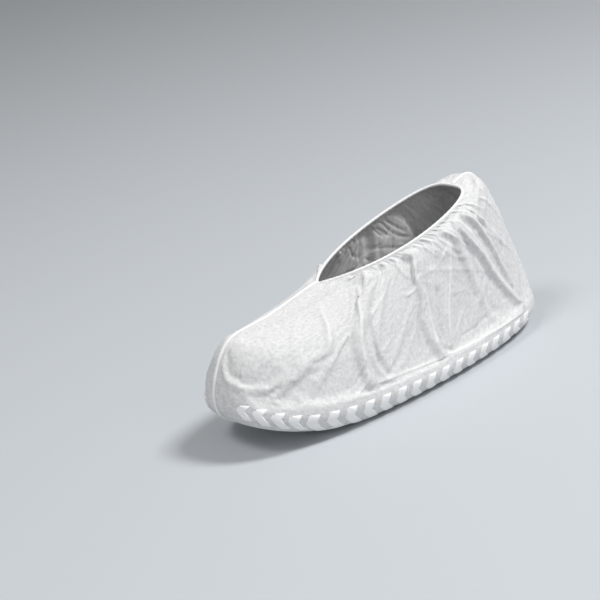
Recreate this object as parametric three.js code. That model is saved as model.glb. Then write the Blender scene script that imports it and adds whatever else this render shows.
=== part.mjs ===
import * as THREE from "three";

// Low overshoe of thin non-woven fabric, shaped as it stands round a shoe, with a print under the sole.
// Millimetres. +Z up, toe towards -Y, heel towards +Y, wearer's left +X. z = 0 is the sole's inner face.

const WALL = 1.0; // thickness of the side panels
const GAP = 0.3; // clearance between separate pieces
const SEAM_WIDTH = 2.4; // bound seam between the two panels
const SEAM_HEIGHT = 1.8; // from the panels' inner face to its crest
const SEAM_CHAMFER = 0.65;
const RIM_RADIUS = 1.3; // elastic cord in the rolled edge of the opening
const RIM_SIDES = 6;
const PRINT_GAP = 0.6; // clearance of the print, whose strokes bend round the sole's edge
const PRINT_THICK = 0.8; // non-skid print under the sole
const PRINT_WIDTH = 7.0; // width of one printed stroke
const PANEL_EDGE = SEAM_WIDTH / 2 + GAP; // each panel's edge from the middle plane
const TOE_SPRING = 17; // rise of the sole at the toe tip
const SPRING_REACH = 0.3; // share of the length over which the sole rises
const COLUMNS = 60; // steps from toe to heel round a panel
const SIDES = { left: 1, right: -1 };

// Rings from the opening down and round to the middle of the sole. Each ring runs from toe to heel:
// toeY, heelY its ends; half its half width; egg how much wider it is at the toe; toeRound, heelRound
// the bluntness of each end (small is blunt); toeZ, midZ, heelZ its heights; full extra half width on
// the left, taken off on the right; spring its share of the toe's rise.
const RINGS = [
  { toeY: -47, heelY: 103.5, half: 32.5, egg: -0.2,
    toeRound: 1.5, heelRound: 0.72, toeZ: 95, midZ: 109, heelZ: 128, full: 0, spring: 0 },
  { toeY: -50, heelY: 122, half: 38, egg: -0.15,
    toeRound: 1.3, heelRound: 0.8, toeZ: 95, midZ: 105, heelZ: 131, full: 1, spring: 0 },
  { toeY: -95, heelY: 139, half: 44, egg: 0,
    toeRound: 1.0, heelRound: 0.78, toeZ: 86, midZ: 78, heelZ: 104, full: 2, spring: 0 },
  { toeY: -137, heelY: 148, half: 50, egg: 0.1,
    toeRound: 0.84, heelRound: 0.68, toeZ: 79, midZ: 50, heelZ: 66, full: 3, spring: 0 },
  { toeY: -155, heelY: 155, half: 56.5, egg: 0.11,
    toeRound: 0.7, heelRound: 0.66, toeZ: 50, midZ: 26, heelZ: 31, full: 3, spring: 0 },
  { toeY: -155, heelY: 156, half: 61, egg: 0.11,
    toeRound: 0.62, heelRound: 0.64, toeZ: 18, midZ: 11, heelZ: 13, full: 3, spring: 0.7 },
  { toeY: -139, heelY: 147, half: 52, egg: 0.11,
    toeRound: 0.64, heelRound: 0.74, toeZ: 0, midZ: 0, heelZ: 0, full: 3, spring: 1 },
  { toeY: -126, heelY: 134, half: 0, egg: 0,
    toeRound: 1, heelRound: 1, toeZ: -3, midZ: -3, heelZ: -3, full: 0, spring: 1 },
];
const TOE_SLIM = 0.05; // added to a ring's toeRound on the right, for each mm of its full
const SOLE_FILLET = 0.9; // rounds the flat sole into the side; the middle ring lies well below it
const SOLE_MIDDLE = RINGS.length - 1;
const BULGE = 5; // the ring where the side turns under
const LEVELS = [
  0, 0.45, 1, 1.6, 2.2, 2.8, 3.4, 3.9, 4.25, 4.55, 4.8, 5.05, 5.3, 5.5, 5.68, 5.84, 6.03, 6.3, SOLE_MIDDLE,
];

// Main folds of the worn fabric: a line from one place on the panel over a second to a third, each
// place as [degrees round from the toe, level in RINGS], with the fold's half width and height.
const FOLDS = [
  { side: 1, from: [43, 0.5], over: [60, 2.2], to: [69, 4.1], width: 7.5, height: 4.2 },
  { side: 1, from: [60, 1.0], over: [67, 2.4], to: [76, 4.0], width: 5.5, height: -3.0 },
  { side: 1, from: [78, 0.7], over: [88, 2.1], to: [96, 4.0], width: 7, height: 3.4 },
  { side: 1, from: [97, 1.9], over: [98, 2.8], to: [98, 3.9], width: 5, height: -2.2 },
  { side: 1, from: [104, 1.5], over: [103, 2.6], to: [101, 3.9], width: 4.5, height: 2.0 },
  { side: 1, from: [112, 1.1], over: [127, 2.4], to: [142, 4.2], width: 7, height: 3.2 },
  { side: 1, from: [121, 1.0], over: [133, 2.1], to: [143, 3.5], width: 4.5, height: 2.0 },
  { side: 1, from: [104, 0.8], over: [116, 2.3], to: [124, 4.1], width: 7, height: 1.8 },
  { side: 1, from: [72, 4.2], over: [104, 4.3], to: [142, 4.5], width: 5, height: 0.7 },
  { side: 1, from: [27, 1.6], over: [46, 2.3], to: [54, 3.4], width: 6, height: 1.6 },
  { side: 1, from: [23, 1.9], over: [37, 2.8], to: [41, 3.6], width: 6, height: 1.3 },
  { side: 1, from: [32, 2.9], over: [29, 3.1], to: [27, 3.6], width: 4, height: -1.2 },
  { side: 1, from: [4, 3.65], over: [15, 3.8], to: [28, 3.85], width: 4.5, height: 1.4 },
  { side: 1, from: [5, 2.6], over: [16, 2.6], to: [27, 2.8], width: 5, height: 1.2 },
  { side: -1, from: [40, 0.5], over: [54, 2.1], to: [62, 4.0], width: 7.5, height: 3.8 },
  { side: -1, from: [66, 0.7], over: [76, 2.1], to: [88, 4.0], width: 6, height: -2.8 },
  { side: -1, from: [86, 0.6], over: [97, 2.0], to: [108, 4.1], width: 8, height: 3.2 },
  { side: -1, from: [114, 0.9], over: [124, 2.0], to: [137, 4.0], width: 7, height: 3.0 },
  { side: -1, from: [146, 0.75], over: [158, 0.7], to: [172, 0.8], width: 12, height: 1.2 },
  { side: -1, from: [70, 4.2], over: [100, 4.3], to: [136, 4.4], width: 5, height: 0.7 },
  { side: -1, from: [26, 1.6], over: [40, 2.4], to: [48, 3.5], width: 6, height: 1.5 },
  { side: -1, from: [20, 2.6], over: [30, 3.1], to: [34, 3.7], width: 5, height: -1.2 },
];
const FOLD_SOLE_FADE = [4.15, 4.55]; // levels between which folds die away above the print
const FOLD_SEAM_FADE = 12; // and their distance from the seam

// The print: rows of hooked strokes along each half of the sole. A hook's middle line, as
// [along the sole, out from the row's base], starts and ends on the base.
const HOOK = [[8.4, 0], [12.9, 7.3], [4.2, 17.8], [13.9, 25.1], [28.7, 7.1], [24.2, 0]];
const HOOK_PITCH = 31;
const ROW_START = -124.8; // along the sole, of the first hook
const ROW_BASE = 20; // out from the seam, of the inner row
const HOOKS_IN_ROW = 8;
const OUTER_TURN = [40.9, 55.2]; // the outer row is the inner one turned round half of this
const RIGHT_TURN = 11; // the right half is the left half turned round half of this
// Single strokes round the toe, which climb towards its tip: where each stands along the edge from
// the toe tip, and how far further out than the middle line.
const TOE_HOOK = [[3, 58.4], [0, 70], [4.5, 75.2]];
const TOE_HOOKS = {
  left: [[27, 12], [39, 8.5], [51.5, 4.5], [63, 1.5]],
  right: [[21, 11], [33, 8.5], [45, 6], [56.7, 4]],
};
const PRINT_TOP = [75.2, 4.75]; // the print's outer edge: distance from the seam, and its level
const FLAT_STEP = 5; // longest step along a stroke under the flat sole
const CURVED_STEP = 4.5; // and where the sole turns up

const clamp = (v, lo, hi) => Math.min(hi, Math.max(lo, v));
const smooth = (v, lo, hi) => {
  const s = clamp((v - lo) / (hi - lo), 0, 1);
  return s * s * (3 - 2 * s);
};
const rad = THREE.MathUtils.degToRad;
const vec = (x, y, z) => new THREE.Vector3(x, y, z);

const springAt = (along) => TOE_SPRING * Math.max(0, 1 - along / SPRING_REACH) ** 2;

// A point of one ring on one side, at an angle from the toe (0) to the heel (pi).
function ringPoint(ring, side, angle) {
  const c = Math.cos(angle), s = Math.max(0, Math.sin(angle)), along = (1 - c) / 2;
  const toeRound = ring.toeRound + (side < 0 ? TOE_SLIM * ring.full : 0);
  const round = toeRound * (1 - along) + ring.heelRound * along;
  const half = Math.max(0, ring.half + side * ring.full - PANEL_EDGE);
  return vec(
    PANEL_EDGE + half * s ** round * (1 + ring.egg * c),
    ring.toeY + (ring.heelY - ring.toeY) * along,
    ring.toeZ * (1 - along) * (1 - 2 * along) + 4 * ring.midZ * along * (1 - along) +
      ring.heelZ * along * (2 * along - 1) + ring.spring * springAt(along),
  );
}

// The smooth inner face: a centripetal curve through the rings at one angle.
function innerFace(side, angle, level) {
  const k = clamp(Math.floor(level), 0, SOLE_MIDDLE - 1), at = level - k;
  const p = (i) => ringPoint(RINGS[i], side, angle);
  const p1 = p(k), p2 = p(k + 1);
  const p0 = k > 0 ? p(k - 1) : p1.clone().multiplyScalar(2).sub(p2);
  const p3 = k + 2 <= SOLE_MIDDLE ? p(k + 2) : p2.clone().multiplyScalar(2).sub(p1);
  const knot = (a, b) => Math.sqrt(a.distanceTo(b)) + 1e-6;
  const t1 = knot(p0, p1), t2 = t1 + knot(p1, p2), t3 = t2 + knot(p2, p3), t = t1 + (t2 - t1) * at;
  const mix = (a, b, ta, tb) => a.clone().lerp(b, (t - ta) / (tb - ta));
  const a1 = mix(p0, p1, 0, t1), a2 = mix(p1, p2, t1, t2), a3 = mix(p2, p3, t2, t3);
  const out = mix(mix(a1, a2, 0, t2), mix(a2, a3, t1, t3), t1, t2);
  const sole = springAt((1 - Math.cos(angle)) / 2), above = out.z - sole;
  if (above < SOLE_FILLET) out.z = sole + Math.max(0, above + SOLE_FILLET) ** 2 / (4 * SOLE_FILLET);
  out.x = Math.max(out.x, PANEL_EDGE) * side;
  return out;
}

// Outward unit normal of that face; along the seam it lies in the middle plane.
function outward(side, angle, level) {
  const d = 0.02, a0 = clamp(angle, d, Math.PI - d), l0 = clamp(level, d, SOLE_MIDDLE - d);
  const round = innerFace(side, a0 + d, l0).sub(innerFace(side, a0 - d, l0));
  const down = innerFace(side, a0, l0 + d).sub(innerFace(side, a0, l0 - d));
  const n = round.cross(down).multiplyScalar(-side);
  if (angle <= 0 || angle >= Math.PI || level >= SOLE_MIDDLE) n.x = 0;
  return n.normalize();
}

const foldLines = FOLDS.map((f) => {
  const line = [];
  for (let i = 0; i <= 14; i++) {
    const t = i / 14;
    const at = (k) => f.from[k] * (1 - t) * (1 - 2 * t) + 4 * f.over[k] * t * (1 - t) + f.to[k] * t * (2 * t - 1);
    line.push(innerFace(f.side, rad(at(0)), at(1)));
  }
  return { ...f, line };
});

// How far the folds move the fabric outward at a point.
function foldHeight(side, p, level) {
  const fade = (1 - smooth(level, ...FOLD_SOLE_FADE)) * smooth(Math.abs(p.x), PANEL_EDGE, FOLD_SEAM_FADE);
  if (fade <= 0) return 0;
  let sum = 0;
  for (const f of foldLines) {
    if (f.side !== side) continue;
    let near = Infinity;
    for (let i = 1; i < f.line.length; i++) {
      const seg = new THREE.Line3(f.line[i - 1], f.line[i]);
      near = Math.min(near, seg.closestPointToPoint(p, true, vec(0, 0, 0)).distanceTo(p));
    }
    if (near < f.width) sum += f.height * (1 - (near / f.width) ** 2) ** 2;
  }
  return sum * fade;
}

// A point of the folded fabric, lift millimetres outside its inner face.
function fabric(side, angle, level, lift) {
  const p = innerFace(side, angle, level);
  return p.addScaledVector(outward(side, angle, level), lift + foldHeight(side, p, level));
}

// Joins equal closed outlines into one solid. A free end is closed across its outline, point k to
// the point as far back from the end of the list.
function loft(sections, ring = false) {
  const n = sections[0].length, position = [], index = [];
  for (const s of sections) for (const p of s) position.push(p.x, p.y, p.z);
  const last = sections.length - (ring ? 0 : 1);
  for (let i = 0; i < last; i++) {
    const a = i * n, b = ((i + 1) % sections.length) * n;
    for (let k = 0; k < n; k++) {
      const m = (k + 1) % n;
      index.push(a + k, b + k, b + m, a + k, b + m, a + m);
    }
  }
  if (!ring) {
    for (const [base, flip] of [[0, false], [(sections.length - 1) * n, true]]) {
      for (let k = 0; k < n / 2 - 1; k++) {
        const q = [base + k, base + k + 1, base + n - 2 - k, base + n - 1 - k];
        const faces = [[q[0], q[1], q[2]], [q[0], q[2], q[3]]];
        for (const f of faces) index.push(...(flip ? [f[0], f[2], f[1]] : f));
      }
    }
  }
  const at = (i) => vec(position[3 * i], position[3 * i + 1], position[3 * i + 2]);
  let volume = 0;
  for (let i = 0; i < index.length; i += 3) volume += at(index[i]).dot(at(index[i + 1]).cross(at(index[i + 2])));
  if (volume < 0) for (let i = 0; i < index.length; i += 3) [index[i + 1], index[i + 2]] = [index[i + 2], index[i + 1]];
  const g = new THREE.BufferGeometry();
  g.setAttribute("position", new THREE.Float32BufferAttribute(position, 3));
  g.setIndex(index);
  return g;
}

// The angle at a distance round the bulge ring from its toe.
const bulgeLength = {}, FINE = 720;
for (const side of Object.values(SIDES)) {
  const gone = (bulgeLength[side] = [0]);
  const at = (i) => ringPoint(RINGS[BULGE], side, (Math.PI * i) / FINE);
  for (let i = 1; i <= FINE; i++) gone.push(gone[i - 1] + at(i).distanceTo(at(i - 1)));
}
function angleRound(side, distance) {
  const gone = bulgeLength[side], want = clamp(distance, 0, gone[FINE]);
  const k = clamp(gone.findIndex((g) => g >= want), 1, FINE);
  return (Math.PI * (k - 1 + (want - gone[k - 1]) / (gone[k] - gone[k - 1]))) / FINE;
}
const angles = Array.from({ length: COLUMNS + 1 }, (_, i) => angleRound(1, (bulgeLength[1][FINE] * i) / COLUMNS));

function panel(side) {
  return loft(angles.map((a) => [
    ...LEVELS.map((l) => fabric(side, a, l, WALL)),
    ...LEVELS.toReversed().map((l) => fabric(side, a, l, 0)),
  ]));
}

// The seam runs from the opening over the instep and toe, along the sole and up the heel.
function seam() {
  const stations = [
    ...LEVELS.map((l) => [0, l]),
    ...angles.slice(1, -1).filter((_, i) => i % 2).map((a) => [a, SOLE_MIDDLE]),
    ...LEVELS.toReversed().map((l) => [Math.PI, l]),
  ];
  const w = SEAM_WIDTH / 2, c = SEAM_CHAMFER, h = SEAM_HEIGHT;
  const outline = [[-w, 0], [-w, h - c], [-w + c, h], [w - c, h], [w, h - c], [w, 0]];
  return loft(stations.map(([a, l]) => {
    const p = innerFace(1, a, l), n = outward(1, a, l);
    if (l >= SOLE_MIDDLE) n.set(0, n.y, n.z).normalize();
    return outline.map(([x, up]) => vec(x, p.y + n.y * up, p.z + n.z * up));
  }));
}

// The elastic lies on the panels' top edges, all the way round the opening.
function elastic() {
  const stations = [
    ...angles.map((a) => [1, a]),
    ...angles.toReversed().map((a) => [-1, a]),
  ].filter(([side, a]) => !(side < 0 && (a <= 0 || a >= Math.PI)));
  const edges = stations.map(([side, a]) => {
    const p = fabric(side, a, 0, WALL / 2), away = p.clone().sub(fabric(side, a, LEVELS[1], WALL / 2));
    if (a <= 0 || a >= Math.PI) p.x = away.x = 0;
    return { p, away };
  });
  const n = edges.length;
  return loft(edges.map(({ p, away }, i) => {
    const along = edges[(i + 1) % n].p.clone().sub(edges[(i + n - 1) % n].p).normalize();
    const up = away.clone().addScaledVector(along, -along.dot(away)).normalize();
    const out = along.clone().cross(up), middle = p.clone().addScaledVector(up, GAP + RIM_RADIUS);
    return Array.from({ length: RIM_SIDES }, (_, k) => {
      const t = (2 * Math.PI * (k + 0.5)) / RIM_SIDES;
      return middle.clone().addScaledVector(up, RIM_RADIUS * Math.sin(t)).addScaledVector(out, RIM_RADIUS * Math.cos(t));
    });
  }), true);
}

// A place on the outside of the sole, a distance out from the seam along a section whose angle at
// each level is given, stretched to reach the print's top level; lift is from the inner face.
function onSole(side, angleAt, out, lift) {
  const step = 1 / 16, gone = [0];
  let p = innerFace(side, angleAt(SOLE_MIDDLE), SOLE_MIDDLE);
  for (let level = SOLE_MIDDLE - step; level > PRINT_TOP[1] - 1; level -= step) {
    const next = innerFace(side, angleAt(level), level);
    gone.push(gone[gone.length - 1] + next.distanceTo(p));
    p = next;
  }
  const full = gone[Math.round((SOLE_MIDDLE - PRINT_TOP[1]) / step)];
  const want = ((out - PANEL_EDGE) * full) / (PRINT_TOP[0] - PANEL_EDGE);
  const k = clamp(gone.findIndex((g) => g >= want), 1, gone.length - 1);
  const level = SOLE_MIDDLE - step * (k - 1 + (want - gone[k - 1]) / (gone[k] - gone[k - 1]));
  const angle = clamp(angleAt(level), 1e-4, Math.PI - 1e-4);
  return innerFace(side, angle, level).addScaledVector(outward(side, angle, Math.min(level, 6.9)), lift);
}

// Straight across the sole at one place along it.
const acrossAt = (y) => (level) => {
  const k = clamp(Math.floor(level), 0, SOLE_MIDDLE - 1), f = level - k;
  const mix = (key) => RINGS[k][key] * (1 - f) + RINGS[k + 1][key] * f;
  return Math.acos(1 - 2 * clamp((y - mix("toeY")) / (mix("heelY") - mix("toeY")), 0, 1));
};

// A printed stroke along a bent line on the flat sole, [along, out] in millimetres, carried by place.
function stroke(line, place, longest) {
  const pts = [];
  line.forEach((p, i) => {
    if (i) {
      const q = line[i - 1], n = Math.ceil(Math.hypot(p[0] - q[0], p[1] - q[1]) / longest);
      for (let k = 1; k < n; k++) pts.push([q[0] + ((p[0] - q[0]) * k) / n, q[1] + ((p[1] - q[1]) * k) / n]);
    }
    pts.push(p);
  });
  const dir = (a, b) => {
    const l = Math.hypot(b[0] - a[0], b[1] - a[1]);
    return [(b[0] - a[0]) / l, (b[1] - a[1]) / l];
  };
  return loft(pts.map((p, i) => {
    const before = i > 0 ? dir(pts[i - 1], p) : null, after = i < pts.length - 1 ? dir(p, pts[i + 1]) : null;
    const one = before ?? after, two = after ?? before;
    let across = [-(one[1] + two[1]), one[0] + two[0]];
    const size = Math.hypot(...across), stretch = 2 / size; // mitre
    across = [(across[0] / size) * stretch, (across[1] / size) * stretch];
    // the free ends are cut along the sole, level with the row's base
    if (!before || !after) across = [1 / Math.abs(one[1]), 0].map((v) => v * -Math.sign(one[1]));
    const row = (lift) => [-1, 0, 1].map((s) => place(
      p[0] + (across[0] * s * PRINT_WIDTH) / 2, p[1] + (across[1] * s * PRINT_WIDTH) / 2, lift));
    return [...row(WALL + PRINT_GAP + PRINT_THICK), ...row(WALL + PRINT_GAP).reverse()];
  }));
}

const cover = new THREE.Group();
cover.name = "boot_cover";
const fabricFinish = () => new THREE.MeshStandardMaterial({ color: 0xeeeeec, roughness: 0.95 });
const seamFinish = () => new THREE.MeshStandardMaterial({ color: 0xf8f8f6, roughness: 0.85 });
const printFinish = () => new THREE.MeshStandardMaterial({ color: 0xffffff, roughness: 0.7 });

function add(name, geometry, material) {
  geometry.computeVertexNormals();
  const mesh = new THREE.Mesh(geometry, material);
  mesh.name = name;
  cover.add(mesh);
}

add("side_panel_left", panel(1), fabricFinish());
add("side_panel_right", panel(-1), fabricFinish());
add("centre_seam", seam(), seamFinish());
add("elastic_edge", elastic(), seamFinish());

for (const [sideName, side] of Object.entries(SIDES)) {
  const turned = (u) => (side > 0 ? u : RIGHT_TURN - u);
  const place = (u, out, lift) => onSole(side, acrossAt(turned(u)), out, lift);
  for (let i = 0; i < HOOKS_IN_ROW; i++) {
    const at = ROW_START + HOOK_PITCH * i;
    const inner = HOOK.map(([u, out]) => [at + u, ROW_BASE + out]);
    const outer = HOOK.map(([u, out]) => [at + OUTER_TURN[0] - u, ROW_BASE + OUTER_TURN[1] - out]);
    add(`print_inner_${sideName}_${i + 1}`, stroke(inner, place, FLAT_STEP), printFinish());
    add(`print_outer_${sideName}_${i + 1}`, stroke(outer, place, CURVED_STEP), printFinish());
  }
  TOE_HOOKS[sideName].forEach(([at, climb], i) => {
    const turned = (u) => angleRound(side, at + side * u);
    const round = (u, out, lift) => onSole(side, () => turned(u), out + climb, lift);
    add(`print_toe_${sideName}_${i + 1}`, stroke(TOE_HOOK, round, CURVED_STEP), printFinish());
  });
}

export default cover;
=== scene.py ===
"""A low non-skid shoe cover of white non-woven fabric, standing in the shape it has on a shoe.

Lengths in the tables are millimetres and are turned into metres where a mesh is made.
+Z is up, the toe points towards -Y and the wearer's left is +X. z = 0 is the sole's inner face.
"""
import math

import bpy
import numpy as np
from mathutils import Matrix, Vector


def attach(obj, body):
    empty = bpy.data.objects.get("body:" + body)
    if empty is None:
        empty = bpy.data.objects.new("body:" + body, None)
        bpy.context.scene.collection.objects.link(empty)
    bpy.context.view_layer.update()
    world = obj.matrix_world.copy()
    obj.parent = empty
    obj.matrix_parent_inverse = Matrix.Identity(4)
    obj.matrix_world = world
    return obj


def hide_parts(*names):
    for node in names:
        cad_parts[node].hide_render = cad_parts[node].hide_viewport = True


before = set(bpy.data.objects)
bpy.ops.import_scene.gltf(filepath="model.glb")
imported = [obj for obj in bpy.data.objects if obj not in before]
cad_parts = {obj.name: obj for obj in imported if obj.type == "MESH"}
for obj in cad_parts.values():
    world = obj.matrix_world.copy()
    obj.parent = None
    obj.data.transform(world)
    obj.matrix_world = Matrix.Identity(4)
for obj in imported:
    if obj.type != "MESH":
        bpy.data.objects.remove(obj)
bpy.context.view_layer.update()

MM = 0.001

# ---------------------------------------------------------------- the cover's form

PANEL_EDGE = 1.5  # each panel's edge from the middle plane
WALL = 1.0  # outer face of the fabric over the inner face
CLOTH = 0.35  # thickness of the fabric that shows
TOE_SPRING, SPRING_REACH = 17.0, 0.3
SOLE_FILLET = 0.9
RING_COLUMNS = "toe_y heel_y half egg toe_round heel_round toe_z mid_z heel_z full spring".split()
RINGS = np.array([
    # from the opening down and round to the middle of the sole
    [-47, 103.5, 32.5, -0.20, 1.50, 0.72, 95, 109, 128, 0, 0],
    [-50, 122, 38.0, -0.15, 1.30, 0.80, 95, 105, 131, 1, 0],
    [-95, 139, 44.0, 0.00, 1.00, 0.78, 86, 78, 104, 2, 0],
    [-137, 148, 50.0, 0.10, 0.84, 0.68, 79, 50, 66, 3, 0],
    [-155, 155, 56.5, 0.11, 0.70, 0.66, 50, 26, 31, 3, 0],
    [-155, 156, 61.0, 0.11, 0.62, 0.64, 18, 11, 13, 3, 0.7],
    [-139, 147, 52.0, 0.11, 0.64, 0.74, 0, 0, 0, 3, 1],
    [-126, 134, 0.0, 0.00, 1.00, 1.00, -3, -3, -3, 0, 1],
])
TOE_SLIM = 0.05  # added to toe_round on the right, for each mm of full
BULGE, SOLE_MIDDLE = 5, len(RINGS) - 1

# Main folds: a line over three places, each [degrees round from the toe, level], its half width and
# its height, which is negative for a crease pressed in.
FOLDS = [
    # side, from, over, to, width, height
    (1, (43, 0.5), (60, 2.2), (69, 4.1), 7.5, 4.2),
    (1, (60, 1.0), (67, 2.4), (76, 4.0), 5.5, -3.0),
    (1, (78, 0.7), (88, 2.1), (96, 4.0), 7, 3.4),
    (1, (97, 2.3), (98, 3.0), (98, 3.9), 5, -1.8),
    (1, (104, 1.5), (103, 2.6), (101, 3.9), 4.5, 2.0),
    (1, (112, 1.1), (127, 2.4), (142, 4.2), 7, 3.2),
    (1, (121, 1.0), (133, 2.1), (143, 3.5), 4.5, 2.0),
    (1, (104, 0.8), (116, 2.3), (124, 4.1), 7, 1.8),
    (1, (72, 4.2), (104, 4.3), (142, 4.5), 5, 0.7),
    (1, (27, 1.6), (46, 2.3), (54, 3.4), 6, 1.6),
    (1, (23, 1.9), (37, 2.8), (41, 3.6), 6, 1.3),
    (1, (32, 2.9), (29, 3.1), (27, 3.6), 4, -1.2),
    (1, (4, 3.65), (15, 3.8), (28, 3.85), 4.5, 1.4),
    (1, (5, 2.6), (16, 2.6), (27, 2.8), 5, 1.2),
    (-1, (40, 0.5), (54, 2.1), (62, 4.0), 7.5, 3.8),
    (-1, (66, 0.7), (76, 2.1), (88, 4.0), 6, -2.8),
    (-1, (86, 0.6), (97, 2.0), (108, 4.1), 8, 3.2),
    (-1, (114, 0.9), (124, 2.0), (137, 4.0), 7, 3.0),
    (-1, (146, 0.75), (158, 0.7), (172, 0.8), 12, 1.2),
    (-1, (70, 4.2), (100, 4.3), (136, 4.4), 5, 0.7),
    (-1, (26, 1.6), (40, 2.4), (48, 3.5), 6, 1.5),
    (-1, (20, 2.6), (30, 3.1), (34, 3.7), 5, -1.2),
]
FOLD_SOLE_FADE = (4.45, 4.75)

# Sharp creases on top of them, in the same columns. Each side has them all, on the right a little
# further round.
CREASES = [
    # from, over, to, width, height
    ((43, 1.1), (60, 2.2), (68, 3.6), 2.5, 1.8),
    ((67, 1.7), (66, 2.0), (65, 2.3), 2.5, 1.7),
    ((65, 2.3), (71, 3.0), (74, 3.9), 2.5, -1.7),
    ((42, 1.3), (57, 2.4), (62, 3.2), 2.8, -1.3),
    ((78, 0.7), (81, 1.4), (86, 1.9), 2.5, 2.1),
    ((86, 2.0), (89, 2.8), (89, 3.7), 2.7, -1.8),
    ((87, 1.9), (94, 2.8), (95, 3.9), 2.5, 1.8),
    ((77, 1.9), (82, 2.0), (86, 1.9), 2.3, 1.4),
    ((104, 1.6), (103, 2.6), (101, 3.8), 2.1, 1.8),
    ((111, 3.1), (107, 3.4), (103, 3.8), 2.3, 1.3),
    ((112, 1.2), (127, 2.4), (142, 4.2), 2.3, 1.5),
    ((121, 1.0), (133, 2.1), (142, 3.3), 2.3, 1.5),
    ((128, 1.2), (139, 2.0), (150, 2.7), 2.3, 1.4),
    ((126, 0.8), (131, 1.4), (140, 1.9), 2.3, 1.3),
    ((140, 1.0), (150, 1.6), (160, 2.4), 2.3, 1.3),
    ((83, 1.5), (105, 2.0), (134, 2.9), 2.1, 0.8),
    ((86, 1.8), (90, 1.9), (95, 2.1), 1.9, 1.3),
    ((104, 2.6), (108, 2.6), (115, 2.7), 2.1, 1.1),
    ((70, 4.2), (89, 4.2), (106, 4.35), 2.1, 1.1),
    ((102, 4.3), (122, 4.45), (143, 4.6), 2.1, 1.1),
    ((127, 3.6), (120, 3.7), (113, 3.8), 2.1, -1.3),
    ((90, 1.0), (95, 1.3), (104, 1.7), 2.1, 1.4),
    ((97, 0.9), (102, 1.3), (113, 1.8), 2.1, 1.3),
    ((105, 0.7), (110, 1.3), (120, 1.7), 2.1, 1.3),
    ((113, 0.8), (118, 1.3), (125, 1.7), 2.1, 1.3),
    ((68, 0.9), (75, 1.4), (84, 1.7), 2.1, 1.4),
    ((61, 0.4), (62, 1.2), (65, 1.7), 2.1, 1.4),
    ((53, 0.3), (55, 1.2), (62, 1.5), 2.1, 1.3),
    ((27, 1.6), (46, 2.3), (54, 3.4), 3.0, 0.5),
    ((23, 2.0), (37, 2.9), (41, 3.4), 3.0, 0.4),
    ((3, 2.7), (15, 2.7), (27, 2.8), 2.2, 0.6),
    ((6, 2.2), (22, 2.4), (27, 2.8), 2.2, 0.5),
    ((32, 3.0), (29, 3.2), (28, 3.6), 2.2, -0.7),
    ((2, 3.7), (12, 3.8), (20, 3.9), 2.2, 0.7),
    ((12, 3.6), (21, 3.7), (29, 3.8), 2.2, 0.5),
    ((44, 1.8), (49, 1.9), (55, 2.0), 1.9, 1.1),
    ((60, 4.2), (65, 3.9), (68, 3.4), 2.5, -1.3),
    ((37, 1.9), (46, 2.3), (53, 2.9), 2.3, 1.0),
    ((40, 2.7), (43, 3.2), (44, 3.6), 2.5, 0.8),
    ((68, 3.6), (67, 4.1), (61, 4.5), 3.0, 1.3),
    ((66, 3.3), (64, 3.8), (59, 4.2), 4.0, -1.0),
    ((38, 1.8), (48, 2.3), (55, 3.2), 2.4, 0.8),
    ((14, 1.3), (29, 1.6), (43, 2.1), 2.6, 0.6),
    ((117, 1.3), (129, 2.3), (142, 4.0), 2.6, 1.2),
    ((127, 1.3), (136, 2.0), (161, 3.1), 2.4, 1.1),
    ((133, 0.5), (133, 1.1), (142, 1.5), 2.2, 1.2),
    ((123, 0.6), (126, 1.2), (137, 1.7), 2.2, 1.3),
    ((113, 0.7), (117, 1.3), (123, 1.7), 2.4, 1.3),
    ((101, 0.7), (108, 1.3), (120, 1.9), 2.4, 1.3),
    ((93, 0.6), (100, 1.4), (116, 2.0), 2.2, 1.2),
    ((87, 0.6), (91, 1.2), (101, 1.6), 2.2, 1.2),
    ((80, 0.6), (81, 1.4), (86, 1.8), 2.4, 1.5),
    ((105, 3.8), (115, 3.8), (128, 3.7), 2.2, -1.2),
    ((84, 1.7), (90, 1.7), (98, 1.7), 2.0, 1.1),
    ((98, 1.7), (101, 1.5), (104, 1.3), 2.0, 1.0),
]
CREASE_TURN = {1: 0, -1: 5}
FOLD_SEAM_FADE = 12.0


def smooth(v, lo, hi):
    """0 at lo and before it, 1 at hi and past it, and an S-shaped step between."""
    s = np.clip((v - lo) / (hi - lo), 0, 1)
    return s * s * (3 - 2 * s)


def spring_at(along):
    """Rise of the sole: a parabola from the toe tip that ends where the sole turns flat."""
    return TOE_SPRING * np.maximum(0, 1 - along / SPRING_REACH) ** 2


def ring_points(rows, side, angle):
    """A superellipse half ring: out as a power of sin(angle), along as cos(angle), and up through three
    heights by a parabola. rows has the ring's numbers on its last axis."""
    r = dict(zip(RING_COLUMNS, np.moveaxis(rows, -1, 0)))
    c, s = np.cos(angle), np.maximum(0, np.sin(angle))
    along = (1 - c) / 2
    toe_round = r["toe_round"] + (side < 0) * TOE_SLIM * r["full"]
    power = toe_round * (1 - along) + r["heel_round"] * along
    half = np.maximum(0, r["half"] + side * r["full"] - PANEL_EDGE)
    x = PANEL_EDGE + half * s ** power * (1 + r["egg"] * c)
    y = r["toe_y"] + (r["heel_y"] - r["toe_y"]) * along
    z = (r["toe_z"] * (1 - along) * (1 - 2 * along) + 4 * r["mid_z"] * along * (1 - along)
         + r["heel_z"] * along * (2 * along - 1) + r["spring"] * spring_at(along))
    return np.stack([x, y, z], -1)


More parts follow.
